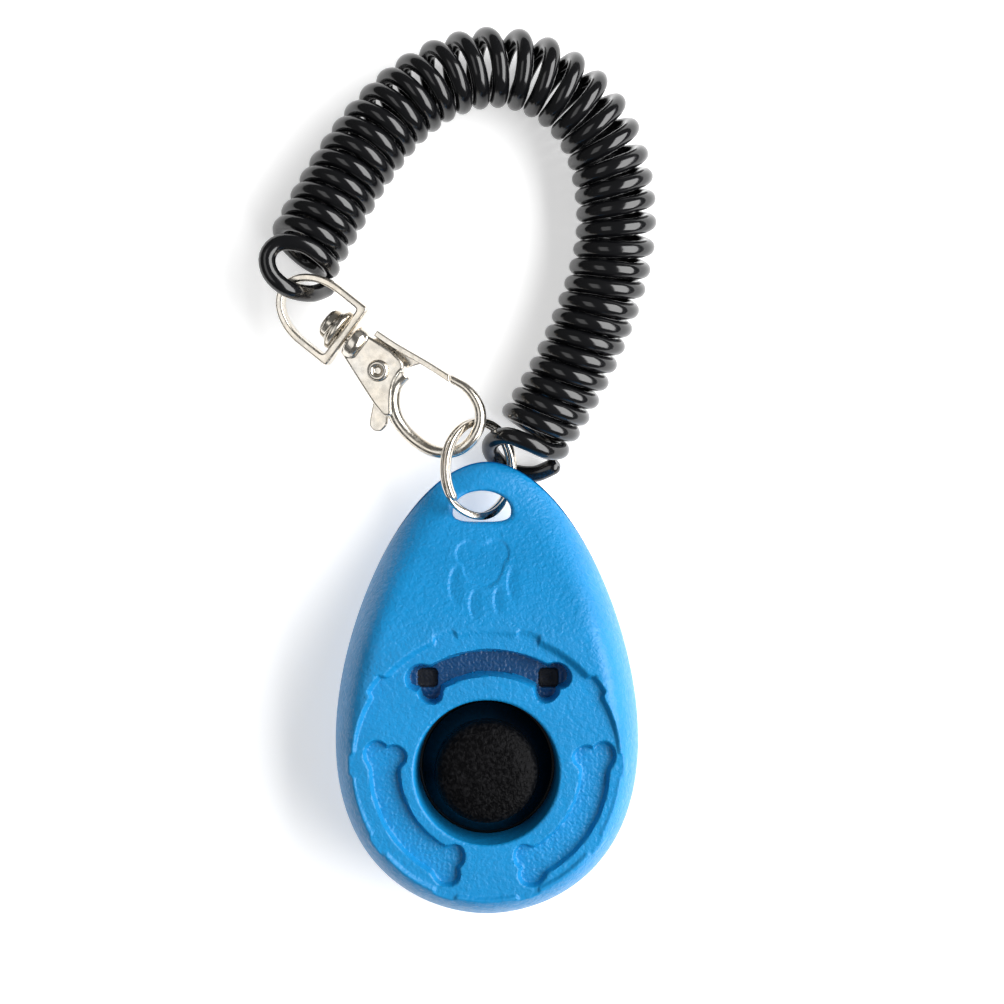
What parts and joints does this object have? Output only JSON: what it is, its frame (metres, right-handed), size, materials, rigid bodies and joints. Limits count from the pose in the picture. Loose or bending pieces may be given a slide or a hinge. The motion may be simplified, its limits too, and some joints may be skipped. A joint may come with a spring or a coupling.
{
  "type": "clicker trainer",
  "caption": "Egg-shaped push-button training clicker on a coiled wrist strap, with a split ring and a swivel snap hook.",
  "frame": {"origin": "middle of the egg-shaped housing, in the plane of its flat back", "axes": "+Y towards the housing's narrow end with the strap hole, +Z out of the face with the button, +X to the right of the button as the face is looked at"},
  "size_m": [0.053, 0.1184, 0.0173],
  "materials": {
    "blue_plastic": "fine moulded grain, satin",
    "black_plastic": "fine sandy texture on the cap",
    "coil_plastic": "smooth gloss",
    "nickel_plate": "bright nickel plating",
    "spring_steel": "plain satin"
  },
  "bodies": {
    "clicker": {"front_shell": "blue_plastic", "back_shell": "blue_plastic", "plate_clamp": "spring_steel", "clamp_screw_left": "spring_steel", "clamp_screw_right": "spring_steel", "housing_screw_tip": "spring_steel", "housing_screw_left": "spring_steel", "housing_screw_right": "spring_steel"},
    "button": {"button": "black_plastic"},
    "snap": {"snap_plate": "spring_steel"},
    "ring": {"split_ring": "nickel_plate"},
    "strap": {"coil_strap": "coil_plastic", "swivel_eye": "nickel_plate"},
    "hook": {"clasp_body": "nickel_plate", "swivel_stud": "nickel_plate", "gate_rivet": "nickel_plate", "gate_spring": "spring_steel"},
    "gate": {"clasp_gate": "nickel_plate"}
  },
  "joints": [
    {"name": "button_press", "type": "slide", "parent": "clicker", "child": "button", "axis": [0, 0, -1], "range_m": [0, 0.0018], "stiffness_N_per_m": 1200},
    {"name": "plate_snap", "type": "hinge", "parent": "clicker", "child": "snap", "pos_m": [0, -0.0242, 0.0052], "axis": [-1, 0, 0], "range_deg": [0, 7.8]},
    {"name": "ring_swing", "type": "hinge", "parent": "clicker", "child": "ring", "pos_m": [0, 0.0255, 0.007], "axis": [1, 0, 0], "range_deg": [-45, 4]},
    {"name": "strap_swing", "type": "hinge", "parent": "ring", "child": "strap", "pos_m": [-0.00005, 0.0326, 0.0068], "axis": [0.7391, -0.353, -0.5737], "range_deg": [0, 20]},
    {"name": "hook_swivel", "type": "hinge", "parent": "strap", "child": "hook", "pos_m": [-0.0184, 0.0465, 0.008], "axis": [0.7783, -0.6191, 0.1045], "range_deg": [-8, 25]},
    {"name": "gate_open", "type": "hinge", "parent": "hook", "child": "gate", "pos_m": [-0.01421, 0.04207, 0.0085], "axis": [0.1782, 0.0582, -0.9823], "range_deg": [0, 22], "stiffness_Nm_per_rad": 0.04, "springref_deg": -11.46}
  ],
  "couplings": [
    {"joint": "plate_snap", "follows": "button_press", "rad_per_m": 75}
  ]
}
